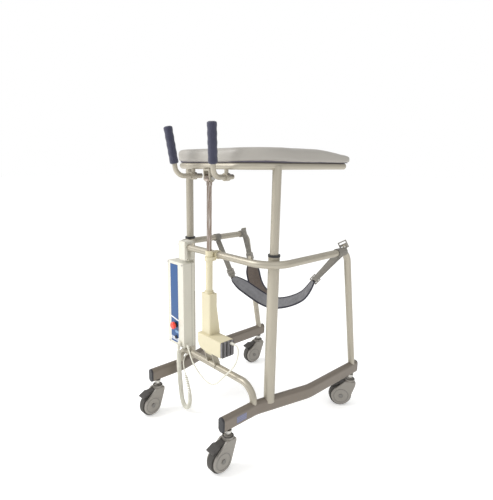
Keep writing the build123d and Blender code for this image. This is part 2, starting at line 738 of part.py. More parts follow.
def handset_shell():
    """Handset case with wells for the two buttons and a hook for the column."""
    body = block(HANDSET_X, HANDSET_Y, HANDSET_Z, 6)
    y = handset_middle()
    for z in (HANDSET_Z[0] + 45, HANDSET_Z[0] + 85):
        body -= rod((HANDSET_X[0] - 1, y, z), (HANDSET_X[0] + 8, y, z), BUTTON_D + 0.6)
    body += block((HANDSET_X[1], -271.2), (-160, -146), (548, 578))
    return body


def handset_button(z):
    """Round button, proud of the case by its travel and a little more."""
    y = handset_middle()
    cap = rod((HANDSET_X[0] - 2.5, y, z), (HANDSET_X[0] + 5, y, z), BUTTON_D)
    return fillet(cap.edges().group_by(Axis.X)[0], 1.5)


save("handset_shell", handset_shell())
save("handset_up_button", handset_button(HANDSET_Z[0] + 85))
save("handset_down_button", handset_button(HANDSET_Z[0] + 45))


# ---- cords ----------------------------------------------------------------------------------
CURL_D = 22.0
LEAD_D = 5.0
CABLE_D = 6.5
CURL_ROUTE = [
    (-200.0, -262.0, 286.0),
    (-200.0, -262.0, 250.0),
    (-198.0, -263.0, 200.0),
    (-190.0, -264.0, 144.0),
    (-184.0, -263.0, 92.0),
    (-177.0, -264.0, 46.0),
    (-150.0, -266.0, 16.0),
    (-118.0, -267.0, 36.0),
    (-111.0, -266.0, 84.0),
    (-127.0, -264.0, 136.0),
    (-151.0, -262.0, 184.0),
]
LEAD_ROUTE = [
    (-151.0, -262.0, 184.0),
    (-163.0, -261.0, 208.0),
    (-181.0, -252.0, 231.0),
    (-194.0, -230.0, 242.0),
    (-214.0, -206.0, 245.0),
    (-242.0, -194.0, 244.0),
    (-268.0, -186.0, 250.0),
    (-286.0, -172.0, 270.0),
    (-293.0, -155.0, 302.0),
    (-291.0, -149.5, 350.0),
    (-292.0, -149.0, 400.0),
    (-292.0, -149.0, 446.0),
]
CABLE_ROUTE = [
    (132.0, -232.0, 412.0),
    (148.0, -232.0, 412.0),
    (161.0, -237.0, 399.0),
    (167.0, -245.0, 376.0),
    (162.0, -252.0, 348.0),
    (145.0, -257.0, 319.0),
    (119.0, -260.0, 290.0),
    (91.0, -260.0, 258.0),
    (62.0, -258.0, 226.0),
    (32.0, -257.0, 206.0),
    (-2.0, -257.0, 201.0),
    (-36.0, -257.0, 211.0),
    (-72.0, -256.0, 228.0),
    (-108.0, -253.0, 251.0),
    (-134.0, -247.0, 276.0),
    (-153.0, -240.0, 291.0),
]
CABLE_EXIT = Vector(*CABLE_ROUTE[-2]) - Vector(*CABLE_ROUTE[-1])
GLAND_FOOT = Vector(*CABLE_ROUTE[-1]) - CABLE_EXIT.normalized() * 24

plug = rod((-200, -262, 286), (-200, -262, 310), 13)
plug += block((-209, -191), (-262, BOX_FRONT - 0.6), (300, 318), 2)
box_gland = gland(*tuple(GLAND_FOOT), tuple(CABLE_EXIT), 24, 14, 5)
box_gland -= block((BOX_RIGHT - 60, BOX_RIGHT), (BOX_FRONT, BOX_BACK), (BOX_BOTTOM, BOX_TOP))
save(
    "cable_glands",
    gland(MOTOR_X[1] + 7, -232, 412, (1, 0, 0), 18, 13, 5),
    box_gland,
    plug,
    gland(-292, -149, HANDSET_Z[0], (0, 0, -1), 12, 12, 4),
)
save("handset_curly_cord", cord_tube("handset_curly_cord", CURL_ROUTE, CURL_D))
save("handset_lead", cord_tube("handset_lead", LEAD_ROUTE, LEAD_D))
save("motor_cable", cord_tube("motor_cable", CABLE_ROUTE, CABLE_D))


# ---- sling: two padded bands that cross under the seat, hung by webbing ---------------------
BAND_W = 78.0
BAND_T = 11.0
WEB_W = 25.0
WEB_T = 3.0


def band_plane(start, end):
    """Upright plane through two points on plan; its local X runs from start towards end."""
    along = Vector(end[0] - start[0], end[1] - start[1], 0).normalized()
    return Plane(origin=(start[0], start[1], 0), x_dir=along, z_dir=along.cross(Vector(0, 0, 1)))


def ribbon(plane, route, radii, thickness, width):
    """Flat band of even thickness that follows a route in an upright plane."""
    line = FilletPolyline(*route, radius=radii) if radii else Line(*route)
    strip = sweep(
        Plane(origin=line @ 0, x_dir=(0, 0, 1), z_dir=line % 0) * Rectangle(width, thickness), path=line)
    return plane.location * strip


band_a = band_plane((290.0, 200.0), (-290.0, 43.0))
band_b = band_plane((-290.0, 236.0), (90.0, 140.0))
save(
    "sling_bands",
    ribbon(band_a, [(100, 613), (165, 508), (300, 466), (512, 560)], [80, 280], BAND_T, BAND_W),
    ribbon(band_b, [(62, 613), (100, 508), (190, 462), (360, 462)], [50, 120], BAND_T, BAND_W),
)
save(
    "sling_straps",
    ribbon(band_a, [(6, 726), (98, 617)], None, WEB_T, WEB_W),
    ribbon(band_a, [(514, 564), (596, 723)], None, WEB_T, WEB_W),
    ribbon(band_b, [(16, 710), (60.5, 617)], None, WEB_T, WEB_W),
)
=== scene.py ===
import bmesh
import bpy
import json
import math
from mathutils import Matrix, Quaternion, Vector


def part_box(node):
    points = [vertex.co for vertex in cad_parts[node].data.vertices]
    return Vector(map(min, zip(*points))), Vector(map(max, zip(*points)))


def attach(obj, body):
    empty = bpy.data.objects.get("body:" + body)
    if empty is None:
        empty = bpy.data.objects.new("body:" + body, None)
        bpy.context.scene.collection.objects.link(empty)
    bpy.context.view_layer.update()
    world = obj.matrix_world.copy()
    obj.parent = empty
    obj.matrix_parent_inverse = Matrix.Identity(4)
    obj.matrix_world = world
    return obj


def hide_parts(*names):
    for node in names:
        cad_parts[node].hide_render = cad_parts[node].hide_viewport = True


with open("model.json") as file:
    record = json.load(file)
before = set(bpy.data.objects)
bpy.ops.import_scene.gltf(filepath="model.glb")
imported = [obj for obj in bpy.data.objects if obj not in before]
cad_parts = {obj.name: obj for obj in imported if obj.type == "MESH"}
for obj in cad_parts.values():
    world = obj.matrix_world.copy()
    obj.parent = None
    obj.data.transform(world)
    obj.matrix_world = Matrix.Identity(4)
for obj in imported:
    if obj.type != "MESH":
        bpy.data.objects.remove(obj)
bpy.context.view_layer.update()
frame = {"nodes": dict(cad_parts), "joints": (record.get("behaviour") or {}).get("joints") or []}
nodes = frame["nodes"]
joints = {joint["name"]: joint for joint in frame["joints"]}

# ---- Room, light and camera ----------------------------------------------------------------
# A pale floor that glows a little, and a room that is white to the camera and lights the lift
# from a grey dome, brightest overhead. One large soft light stands high on the front left and a
# weak one on the right. The camera, near the forearm pad's height, faces the front right corner.
DOME_FROM, DOME_TO = -0.1, 0.9
DOME_DIM, DOME_BRIGHT = 0.30, 0.95
WHITE = (1.0, 1.0, 1.0, 1.0)
FLOOR_GLOW = 0.30
bpy.ops.object.select_all(action="DESELECT")
scene = bpy.context.scene
scene.view_settings.view_transform = "Standard"
room = bpy.data.worlds.new("white_room")
scene.world = room
room.use_nodes = True
sky = room.node_tree.nodes
sky["Background"].inputs["Color"].default_value = WHITE
shell = sky.new("ShaderNodeTexCoord")
split = sky.new("ShaderNodeSeparateXYZ")
dome = sky.new("ShaderNodeMapRange")
seen_white = sky.new("ShaderNodeMix")
eye = sky.new("ShaderNodeLightPath")
dome.inputs["From Min"].default_value = DOME_FROM
dome.inputs["From Max"].default_value = DOME_TO
dome.inputs["To Min"].default_value = DOME_DIM
dome.inputs["To Max"].default_value = DOME_BRIGHT
seen_white.inputs[3].default_value = 1.0
room.node_tree.links.new(shell.outputs["Generated"], split.inputs[0])
room.node_tree.links.new(split.outputs[2], dome.inputs["Value"])
room.node_tree.links.new(eye.outputs["Is Camera Ray"], seen_white.inputs[0])
room.node_tree.links.new(dome.outputs["Result"], seen_white.inputs[2])
room.node_tree.links.new(seen_white.outputs[0], sky["Background"].inputs["Strength"])


def softbox(place, target, size, power):
    """Square area light that points at a place."""
    aim = (Vector(place) - Vector(target)).to_track_quat("Z", "Y")
    bpy.ops.object.light_add(type="AREA", location=place, rotation=aim.to_euler())
    bpy.context.object.data.size = size
    bpy.context.object.data.energy = power


LIT_PLACE = (0.0, 0.0, 0.6)
softbox((-1.6, -2.6, 2.7), LIT_PLACE, size=1.8, power=85)
softbox((2.6, -0.6, 2.2), LIT_PLACE, size=2.4, power=12)

bpy.ops.object.camera_add()
camera = bpy.context.object
camera.data.sensor_width = 36.0
camera.data.lens = 29.81
camera.data.shift_x = 0.0584
camera.data.shift_y = 0.02
CAMERA_PLACE = (1.220, -1.257, 1.091)
heading, tilt, roll = math.radians(49.29), math.radians(90 - 12.9), math.radians(0.28)
turned = Matrix.Rotation(heading, 4, "Z") @ Matrix.Rotation(tilt, 4, "X")
turned = turned @ Matrix.Rotation(roll, 4, "Z")
camera.matrix_world = Matrix.Translation(CAMERA_PLACE) @ turned
scene.camera = camera


class Value:
    """One output of a shader node, with arithmetic on it."""

    def __init__(self, finish, socket):
        self.finish = finish
        self.socket = socket

    def sum_of(self, operation, first, second):
        return self.finish.node("ShaderNodeMath", {"operation": operation}, {0: first, 1: second})

    def __add__(self, other):
        return self.sum_of("ADD", self, other)

    def __sub__(self, other):
        return self.sum_of("SUBTRACT", self, other)

    def __rsub__(self, other):
        return self.sum_of("SUBTRACT", other, self)

    def __mul__(self, other):
        return self.sum_of("MULTIPLY", self, other)

    def __lt__(self, other):
        return self.sum_of("LESS_THAN", self, other)

    def __gt__(self, other):
        return self.sum_of("GREATER_THAN", self, other)

    def __abs__(self):
        return self.sum_of("ABSOLUTE", self, 0.0)

    __radd__ = __add__
    __rmul__ = __mul__

    def wave(self):
        return self.sum_of("SINE", self, 0.0)

    def clamp(self):
        return self.finish.node("ShaderNodeClamp", inputs={0: self})


class Finish:
    """A surface finish: one shader and the nodes that feed it."""

    def __init__(self, name, **fixed):
        self.material = bpy.data.materials.new(name)
        self.material.use_nodes = True
        self.tree = self.material.node_tree
        self.shader = self.tree.nodes["Principled BSDF"]
        for socket, value in fixed.items():
            self.feed(socket.replace("_", " ").title(), value)

    def feed(self, socket, value):
        target = self.shader.inputs[socket]
        if isinstance(value, Value):
            self.tree.links.new(value.socket, target)
        else:
            target.default_value = value

    def node(self, kind, settings=None, inputs=None, output=0):
        made = self.tree.nodes.new(kind)
        for name, value in (settings or {}).items():
            setattr(made, name, value)
        for key, value in (inputs or {}).items():
            if isinstance(value, Value):
                self.tree.links.new(value.socket, made.inputs[key])
            else:
                made.inputs[key].default_value = value
        return Value(self, made.outputs[output])

    def place(self):
        return self.node("ShaderNodeTexCoord", output="Object")

    def along(self, axis):
        return self.node("ShaderNodeSeparateXYZ", inputs={0: self.place()}, output=axis)

    def noise(self, scale, detail=2.0, stretch=None):
        where = self.place()
        if stretch:
            where = self.node("ShaderNodeMapping", inputs={"Vector": where, "Scale": stretch})
        inputs = {"Vector": where, "Scale": scale, "Detail": detail}
        return self.node("ShaderNodeTexNoise", inputs=inputs)

    def cells(self, scale):
        return self.node("ShaderNodeTexVoronoi", inputs={"Vector": self.place(), "Scale": scale})

    def mix(self, first, second, share):
        colours = [c if isinstance(c, Value) else (*c, 1.0) for c in (first, second)]
        inputs = {0: share, 6: colours[0], 7: colours[1]}
        return self.node("ShaderNodeMix", {"data_type": "RGBA"}, inputs, output=2)

    def relief(self, height, strength, distance):
        inputs = {"Height": height, "Strength": strength, "Distance": distance}
        self.feed("Normal", self.node("ShaderNodeBump", inputs=inputs))


def shade(colour, amount):
    """A colour made lighter or darker by a factor."""
    return tuple(min(channel * amount, 1.0) for channel in colour)


bpy.ops.mesh.primitive_plane_add(size=80.0, location=(0.0, 0.0, 0.0))
floor = bpy.context.object
floor.name = "floor"
floor_finish = Finish("pale_floor", roughness=0.9, emission_strength=FLOOR_GLOW)
floor_finish.feed("Emission Color", WHITE)
floor_tone = floor_finish.noise(2)
floor_finish.feed("Base Color", floor_finish.mix((0.93, 0.93, 0.92), (0.96, 0.96, 0.955), floor_tone))
floor.data.materials.append(floor_finish.material)


def clear_selection():
    """Object mode with nothing selected."""
    if bpy.context.mode != "OBJECT":
        bpy.ops.object.mode_set(mode="OBJECT")
    bpy.ops.object.select_all(action="DESELECT")


def settle(piece, name, body, slot, *finishes):
    """Put a finished piece at the origin with its place in its mesh, and let it ride on a body."""
    clear_selection()
    bpy.context.view_layer.objects.active = piece
    piece.select_set(True)
    for modifier in list(piece.modifiers):
        bpy.ops.object.modifier_apply(modifier=modifier.name)
    bpy.ops.object.transform_apply(location=True, rotation=True, scale=True)
    piece.name = name
    if finishes:
        piece.data.materials.clear()
    for finish in finishes:
        piece.data.materials.append(finish.material)
    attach(piece, body)
    clear_selection()
    return piece


def give(finish, *names):
    """Give CAD nodes their finish."""
    for name in names:
        nodes[name].data.materials.clear()
        nodes[name].data.materials.append(finish.material)


# ---- Motor cable ---------------------------------------------------------------------------
# One pale sheathed cable, 6.5 mm thick, that leaves the motor to the right, sags in front of the
# cross tube and goes up into the lower right corner of the control box.
CABLE_D = 0.0065
CABLE_ROUTE = [
    (0.132, -0.232, 0.412), (0.148, -0.232, 0.412), (0.161, -0.237, 0.399), (0.167, -0.245, 0.376),
    (0.162, -0.252, 0.348), (0.145, -0.257, 0.319), (0.119, -0.260, 0.290), (0.091, -0.260, 0.258),
    (0.062, -0.258, 0.226), (0.032, -0.257, 0.206), (-0.002, -0.257, 0.201), (-0.036, -0.257, 0.211),
    (-0.072, -0.256, 0.228), (-0.108, -0.253, 0.251), (-0.134, -0.247, 0.276), (-0.153, -0.240, 0.291),
]


def nurbs(name, route, diameter, resolution=8):
    """Round curve on the control points of a route."""
    curve = bpy.data.curves.new(name, "CURVE")
    curve.dimensions = "3D"
    curve.resolution_u = resolution
    spline = curve.splines.new("NURBS")
    spline.points.add(len(route) - 1)
    for point, place in zip(spline.points, route):
        point.co = (*place, 1.0)
    spline.order_u = 3
    spline.use_endpoint_u = True
    curve.bevel_depth = diameter / 2
    curve.bevel_resolution = 3
    curve.use_fill_caps = diameter > 0
    piece = bpy.data.objects.new(name, curve)
    scene.collection.objects.link(piece)
    return piece


def smooth_line(route):
    """Points along the smooth line that a route's control points make."""
    guide = nurbs("guide", route, 0.0, 20)
    bpy.context.view_layer.update()
    mesh = bpy.data.meshes.new_from_object(guide)
    line = [vertex.co.copy() for vertex in mesh.vertices]
    bpy.data.objects.remove(guide)
    return line


def length_of(line):
    return sum((b - a).length for a, b in zip(line, line[1:]))


cord_sheath = Finish("cord_sheath", roughness=0.42)
cord_tone = cord_sheath.noise(35, 4)
cord_sheath.feed("Base Color", cord_sheath.mix((0.80, 0.79, 0.70), (0.66, 0.64, 0.55), cord_tone))
cord_sheath.relief(cord_sheath.noise(900), 0.15, 0.0003)

motor_cable = nurbs("motor_cable_sheath", CABLE_ROUTE, CABLE_D)
motor_cable.data.materials.append(cord_sheath.material)
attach(motor_cable, "frame")
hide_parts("motor_cable")
length_of(smooth_line(CABLE_ROUTE))

# ---- Handset cord --------------------------------------------------------------------------
# One pale cord: a springy coil that hangs in a loop under the control box, drawn out thinner
# on its way up, then a straight lead that goes round behind the box to the handset.
CURL_ROUTE = [
    (-0.200, -0.262, 0.286), (-0.200, -0.262, 0.250), (-0.198, -0.263, 0.200), (-0.190, -0.264, 0.144),
    (-0.184, -0.263, 0.092), (-0.177, -0.264, 0.046), (-0.150, -0.266, 0.016), (-0.118, -0.267, 0.036),
    (-0.111, -0.266, 0.084), (-0.127, -0.264, 0.136), (-0.151, -0.262, 0.184),
]
LEAD_ROUTE = [
    (-0.151, -0.262, 0.184), (-0.163, -0.261, 0.208), (-0.181, -0.252, 0.231), (-0.194, -0.230, 0.242),
    (-0.214, -0.206, 0.245), (-0.242, -0.194, 0.244), (-0.268, -0.186, 0.250), (-0.286, -0.172, 0.270),
    (-0.293, -0.155, 0.302), (-0.291, -0.1495, 0.350), (-0.292, -0.149, 0.400), (-0.292, -0.149, 0.446),
]
LEAD_D = 0.005
COIL_R = 0.0085
COIL_PITCH, COIL_DRAWN_PITCH = 0.0062, 0.0098
COIL_DRAWN_SHARE = 0.62
COIL_LEAD_IN = 0.016
POINTS_A_TURN = 11


def coiled(line, start_pitch, end_pitch, end_share):
    """Helix round a line, whose turns open and shrink over its second half."""
    total = length_of(line)
    turns = []
    travelled, angle = 0.0, 0.0
    normal = Vector((1.0, 0.0, 0.0))
    for before, after in zip(line, line[1:]):
        run = (after - before).length
        along = (after - before) / run
        done = 0.0
        while done < run:
            share = max(0.0, (travelled / total - 0.5) * 2)
            pitch = start_pitch + (end_pitch - start_pitch) * share
            fade = min(1.0, travelled / COIL_LEAD_IN, max(0.0, total - travelled) / COIL_LEAD_IN)
            radius = COIL_R * (1 + (end_share - 1) * share) * fade
            normal = (normal - normal.dot(along) * along).normalized()
            across = along.cross(normal)
            place = before + along * done
            turns.append(place + (normal * math.cos(angle) + across * math.sin(angle)) * radius)
            step = pitch / POINTS_A_TURN
            angle += 2 * math.pi / POINTS_A_TURN
            done += step
            travelled += step
        travelled -= done - run
    return turns


coil_points = coiled(smooth_line(CURL_ROUTE), COIL_PITCH, COIL_DRAWN_PITCH, COIL_DRAWN_SHARE)
handset_cord = nurbs("handset_cord", coil_points + [Vector(p) for p in LEAD_ROUTE[1:]], LEAD_D, 2)
handset_cord.data.bevel_resolution = 2
handset_cord.data.materials.append(cord_sheath.material)
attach(handset_cord, "frame")
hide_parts("handset_curly_cord", "handset_lead")
cord_length = length_of(coil_points) + length_of(smooth_line(LEAD_ROUTE))

# ---- Welded steel frame --------------------------------------------------------------------
# Flat-oval side rails, round cross tube, columns and waist rail in welded steel tube, sprayed
# with champagne-silver satin paint, cloudy in tone and dusty low down. The rails get a browner,
# much darker copy of the paint, whose darkness is painted shade of their outer sides.
CHAMPAGNE = (0.43, 0.395, 0.322)
# Rail colour: browner than the champagne paint, and darkened as painted shade of the rails' outer sides.
RAIL_BRONZE_IN_SHADE = (0.205, 0.176, 0.145)
DUST_BROWN = (0.20, 0.175, 0.145)
DUST_TOP = 0.24


def satin_paint(name, colour):
    finish = Finish(name, metallic=0.45, roughness=0.4)
    flake = finish.noise(1400, 1.0)
    cloud = finish.noise(7, 4.0)
    coat = finish.mix(shade(colour, 0.93), shade(colour, 1.07), flake)
    coat = finish.mix(coat, shade(colour, 0.80), (cloud - 0.52).clamp() * 1.6)
    dust = ((DUST_TOP - finish.along(2)) * 3.0).clamp() * finish.noise(22, 4.0)
    finish.feed("Base Color", finish.mix(coat, DUST_BROWN, dust))
    finish.feed("Roughness", 0.32 + cloud * 0.16)
    finish.relief(finish.noise(420, 3.0), 0.12, 0.0004)
    return finish


frame_paint = satin_paint("champagne_paint", CHAMPAGNE)
# The rails' paint carries painted shade over a browner tone.
rail_paint_in_shade = satin_paint("rail_paint_in_shade", RAIL_BRONZE_IN_SHADE)
give(frame_paint, "cross_tube", "outer_columns", "handrail", "sling_hooks", "actuator_fork")
give(rail_paint_in_shade, "side_rails")

# A plain printed label, 50 by 26 mm, on the outside of the near rail.
LABEL_SIZE = (0.0005, 0.050, 0.026)
LABEL_X, LABEL_Y = 0.2512, -0.300
rail_low, rail_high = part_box("side_rails")
label_print = Finish("rail_label", roughness=0.4)
rows = (label_print.along(2) * 900.0).wave()
label_ink = label_print.mix((0.10, 0.11, 0.20), (0.20, 0.21, 0.32), label_print.noise(60, 3))
print_rows = (rows - 0.55).clamp() * 1.2
label_print.feed("Base Color", label_print.mix(label_ink, (0.36, 0.36, 0.42), print_rows))
label_print.relief(label_print.noise(500), 0.05, 0.0002)
label_z = (rail_low.z + rail_high.z) / 2
bpy.ops.mesh.primitive_cube_add(size=1.0, location=(LABEL_X, LABEL_Y, label_z))
label = bpy.context.object
label.scale = LABEL_SIZE
bpy.ops.object.transform_apply(location=False, rotation=False, scale=True)
corner = label.modifiers.new("corner", "BEVEL")
corner.width = 0.0002
settle(label, "rail_label", "frame", "blue_label", label_print)

# ---- Telescopic columns --------------------------------------------------------------------
# Two outer tubes with black plastic guide bushes, and inner tubes carried by the pad frame.
black_plastic = Finish("black_plastic", roughness=0.45)
black_tone = black_plastic.noise(60, 3)
black_plastic.feed("Base Color", black_plastic.mix((0.012, 0.012, 0.014), (0.03, 0.03, 0.033), black_tone))
black_plastic.relief(black_plastic.noise(700), 0.15, 0.0003)
give(black_plastic, "column_bushes", "rail_end_caps", "estop_collar")
give(frame_paint, "inner_columns", "pad_frame", "lift_clevis", "handle_clamps")
give(frame_paint, "handle_right", "handle_left")

# ---- Castors -------------------------------------------------------------------------------
# Twin-cheek housings moulded in warm grey plastic, a grey wheel with a dark rubber tread, and a
# dark ribbed foot pedal. The steel stem shows between rail and housing, over a dark dust ring.
CASTOR_GREY = (0.29, 0.27, 0.24)


def moulded(name, colour, roughness=0.5, grain=350, depth=0.0004):
    """Plastic with a fine moulded grain and a little unevenness of tone."""
    finish = Finish(name)
    tone = finish.noise(9, 4.0)
    spots = finish.noise(120, 3.0)
    body = finish.mix(shade(colour, 0.90), shade(colour, 1.08), tone)
    finish.feed("Base Color", finish.mix(body, shade(colour, 0.72), (spots - 0.62).clamp() * 2))
    finish.feed("Roughness", roughness - 0.06 + tone * 0.12)
    finish.relief(finish.noise(grain, 3.0), 0.25, depth)
    return finish


castor_plastic = moulded("castor_plastic", CASTOR_GREY)
castor_dark = moulded("castor_dark", (0.055, 0.050, 0.046), 0.6)
tread_rubber = moulded("tread_rubber", (0.060, 0.056, 0.050), 0.7, 500)
wheel_grey = moulded("wheel_grey", (0.33, 0.32, 0.30), 0.45)
zinc = Finish("zinc_steel", metallic=0.9)
zinc.feed("Base Color", zinc.mix((0.62, 0.61, 0.58), (0.48, 0.46, 0.42), zinc.noise(40, 4)))
zinc.feed("Roughness", 0.25 + zinc.noise(90, 3) * 0.2)
zinc.relief(zinc.noise(600), 0.08, 0.0002)
give(zinc, "castor_stems", "clevis_bolt", "actuator_base_pin", "lead_screw")
CORNERS = ["front_right", "front_left", "rear_right", "rear_left"]
WHEEL_R, WHEEL_W = 0.05, 0.026
TREAD_T = 0.0145
TYRE_ROUND = 0.0065
CAP_R, CAP_OUT = 0.0095, 0.0243
CHEEK_RING_R, CHEEK_RING_OUT = 0.0325, 0.0228
SWIVEL_RING_R = 0.0185
PEDAL_REACH, PEDAL_RISE = 0.056, 0.0078


def stepped_end(piece, steps, both_ends=False):
    """Rings stepped into a turned piece's flat top, or both its ends: their widths and depths."""
    bpy.ops.object.mode_set(mode="EDIT")
    mesh = bmesh.from_edit_mesh(piece.data)
    for face in mesh.faces:
        face.select_set((abs(face.normal.z) if both_ends else face.normal.z) > 0.9)
    for width, depth in steps:
        bpy.ops.mesh.inset(thickness=width, depth=depth)
    bpy.ops.object.mode_set(mode="OBJECT")


def facing(place, outwards):
    """Matrix that stands a piece at a place with its Z axis pointing outwards."""
    return Matrix.Translation(place) @ outwards.to_track_quat("Z", "Y").to_matrix().to_4x4()


def castor_wheel():
    """Wheel about its own axle along Z: rounded tread, stepped web and hub."""
    bpy.ops.mesh.primitive_cylinder_add(vertices=72, radius=WHEEL_R, depth=WHEEL_W)
    wheel = bpy.context.object
    web_and_hub = [(TREAD_T, 0.0), (0.0016, -0.0045), (0.0175, 0.0), (0.0015, 0.003)]
    stepped_end(wheel, web_and_hub, both_ends=True)
    tyre = wheel.modifiers.new("tyre", "BEVEL")
    tyre.width = TYRE_ROUND
    tyre.segments = 5
    tyre.limit_method = "ANGLE"
    tyre.angle_limit = math.radians(60)
    bpy.ops.object.modifier_apply(modifier="tyre")
    for polygon in wheel.data.polygons:
        polygon.use_smooth = True
        middle = polygon.center
        in_tread = math.hypot(middle.x, middle.y) > WHEEL_R - TREAD_T - 0.0001
        polygon.material_index = 0 if in_tread else 1
    bpy.ops.object.shade_smooth_by_angle(angle=math.radians(35))
    return wheel


def foot_ribs(place, along, across):
    """Five raised ribs across the pedal's pad."""
    bpy.ops.mesh.primitive_cube_add(size=1.0)
    rib = bpy.context.object
    up = along.cross(across).normalized()
    rib.matrix_world = Matrix.Translation(place) @ Matrix((along, across, up)).transposed().to_4x4()
    rib.scale = (0.0028, 0.030, 0.0026)
    row = rib.modifiers.new("row", "ARRAY")
    row.count = 5
    row.relative_offset_displace = (2.1, 0.0, 0.0)
    edge = rib.modifiers.new("edge", "BEVEL")
    edge.width = 0.0007
    edge.segments = 2
    return rib


def axle_cap(place, outwards):
    """Domed cap over the axle's end, with a dished middle."""
    bpy.ops.mesh.primitive_cylinder_add(vertices=40, radius=CAP_R, depth=0.004)
    cap = bpy.context.object
    stepped_end(cap, [(0.0022, 0.0008), (0.0014, -0.0012)])
    rim = cap.modifiers.new("rim", "BEVEL")
    rim.width = 0.0006
    rim.segments = 2
    bpy.ops.object.shade_smooth_by_angle(angle=math.radians(40))
    cap.matrix_world = facing(place, outwards)
    return cap


def swivel_ring(place):
    """Dust ring on the housing's top, round the stem."""
    bpy.ops.mesh.primitive_torus_add(
        major_segments=64, minor_segments=12, major_radius=SWIVEL_RING_R, minor_radius=0.0022,
        location=place)
    bpy.ops.object.shade_smooth()
    return bpy.context.object


def cheek_ring(centre, outwards):
    """Raised ring moulded on a cheek, round the axle."""
    bpy.ops.mesh.primitive_torus_add(
        major_segments=72, minor_segments=10, major_radius=CHEEK_RING_R, minor_radius=0.0016)
    ring = bpy.context.object
    bpy.ops.object.shade_smooth()
    ring.matrix_world = facing(centre + outwards * CHEEK_RING_OUT, outwards)
    return ring


castor_cap = moulded("castor_cap", (0.20, 0.19, 0.175), 0.4)
for corner in CORNERS:
    axle = joints[f"wheel_{corner}"]
    centre, axis = Vector(axle["pos_m"]), Vector(axle["axis"])
    stem = Vector(joints[f"swivel_{corner}"]["pos_m"])
    trail = (Vector((centre.x, centre.y, 0)) - Vector((stem.x, stem.y, 0))).normalized()
    give(castor_plastic, f"castor_housing_{corner}")
    give(castor_dark, f"castor_pedal_{corner}")
    wheel = castor_wheel()
    wheel.matrix_world = facing(centre, axis)
    settle(wheel, f"wheel_{corner}", f"wheel_{corner}", "wheel_tread")
    ribs_place = stem + trail * PEDAL_REACH + Vector((0, 0, PEDAL_RISE))
    ribs = foot_ribs(ribs_place, trail * 0.9 - Vector((0, 0, 0.436)), axis)
    settle(ribs, f"pedal_ribs_{corner}", f"pedal_{corner}", "dark_plastic", castor_dark)
    for side in (1, -1):
        cap = axle_cap(centre + axis * side * CAP_OUT, axis * side)
        letter = "a" if side > 0 else "b"
        settle(cap, f"axle_cap_{corner}_{letter}", f"swivel_{corner}", "grey_plastic", castor_cap)
        ring = cheek_ring(centre, axis * side)
        settle(ring, f"cheek_ring_{corner}_{letter}", f"swivel_{corner}", "grey_plastic", castor_cap)
    housing_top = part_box(f"castor_housing_{corner}")[1].z
    ring = swivel_ring(Vector((stem.x, stem.y, housing_top + 0.0006)))
    settle(ring, f"swivel_ring_{corner}", f"swivel_{corner}", "dark_plastic", castor_dark)
    wheel.data.materials.clear()
    wheel.data.materials.append(tread_rubber.material)
    wheel.data.materials.append(wheel_grey.material)
    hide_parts(f"castor_wheel_{corner}")

# ---- Actuator ------------------------------------------------------------------------------
# Cream plastic motor and gear housings with a grey ribbed end cover, its ribs painted as light and
# dark stripes of painted shade, a cream guide tube, and a polished steel push rod that lifts the pad
# frame.
cream = moulded("cream_plastic", (0.66, 0.60, 0.42), 0.42, 260)
cover_grey = Finish("cover_grey", roughness=0.45)
cover_low, cover_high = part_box("motor_end_cover")
# The ribs are painted: dark stripes of painted shade in the grooves between lighter grey ribs.
painted_rib_shade = ((cover_grey.along(1) - (cover_low.y + cover_high.y) / 2) * 330.0).wave()
cover_with_rib_shade = cover_grey.mix((0.045, 0.043, 0.042), (0.21, 0.20, 0.215), (painted_rib_shade * 0.5 + 0.5).clamp())
cover_dirt = (cover_grey.noise(60, 3) - 0.5).clamp()
cover_grey.feed("Base Color", cover_grey.mix(cover_with_rib_shade, (0.10, 0.095, 0.09), cover_dirt))
cover_grey.relief(cover_grey.noise(400, 3.0), 0.2, 0.0004)
give(cream, "motor_housing", "gear_housing", "actuator_clamp", "actuator_tube", "wiper_collar")
give(cover_grey, "motor_end_cover")
polished = Finish("polished_rod", metallic=1.0)
# Brown streaks in the rod's colour are a painted reflection; the same noise also varies its roughness.
reflection_streaks = polished.noise(30, 3.0, (14.0, 14.0, 0.6))
painted_reflection = (reflection_streaks - 0.30).clamp() * 3.2
polished.feed("Base Color", polished.mix((0.62, 0.58, 0.54), (0.22, 0.155, 0.115), painted_reflection))
polished.feed("Roughness", 0.10 + reflection_streaks * 0.14)
polished.relief(polished.noise(500), 0.03, 0.0002)
give(polished, "push_rod")
bronze = Finish("bronze", metallic=1.0, roughness=0.35)
bronze.feed("Base Color", bronze.mix((0.55, 0.36, 0.16), (0.42, 0.27, 0.12), bronze.noise(50)))
give(bronze, "spindle_nut")
give(zinc, "drive_motor")

# ---- Control box ---------------------------------------------------------------------------
# Two off-white plastic shells screwed together at four corners, a blue printed panel with a
# white line, a red stop button on the panel's lower part, and a dark charging socket.
box_white = moulded("box_white", (0.68, 0.66, 0.575), 0.40, 300)
give(box_white, "control_box_front", "control_box_back", "handset_shell", "cable_glands")
give(box_white, "hanger_bracket")
panel_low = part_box("control_panel")[0]
panel_print = Finish("panel_print", roughness=0.35)
height = panel_print.along(2)
slant = height - (panel_print.along(0) - panel_low.x) * -0.18
line_z = panel_low.z + 0.118
line = (abs(slant - line_z) < 0.0035) * 1.0
ink = panel_print.mix((0.006, 0.060, 0.20), (0.010, 0.080, 0.25), panel_print.noise(20, 3))
above = height - panel_low.z
right = panel_print.along(0) - panel_low.x
foot_mark = (above < 0.024) * (above > 0.008) * ((right * 620.0).wave() > -0.2)
pale_mark = (above < 0.058) * (above > 0.046) * (right > 0.030) * 0.6
printed = panel_print.mix(ink, (0.28, 0.50, 0.78), pale_mark)
printed = panel_print.mix(printed, (0.78, 0.80, 0.82), (line + foot_mark).clamp())
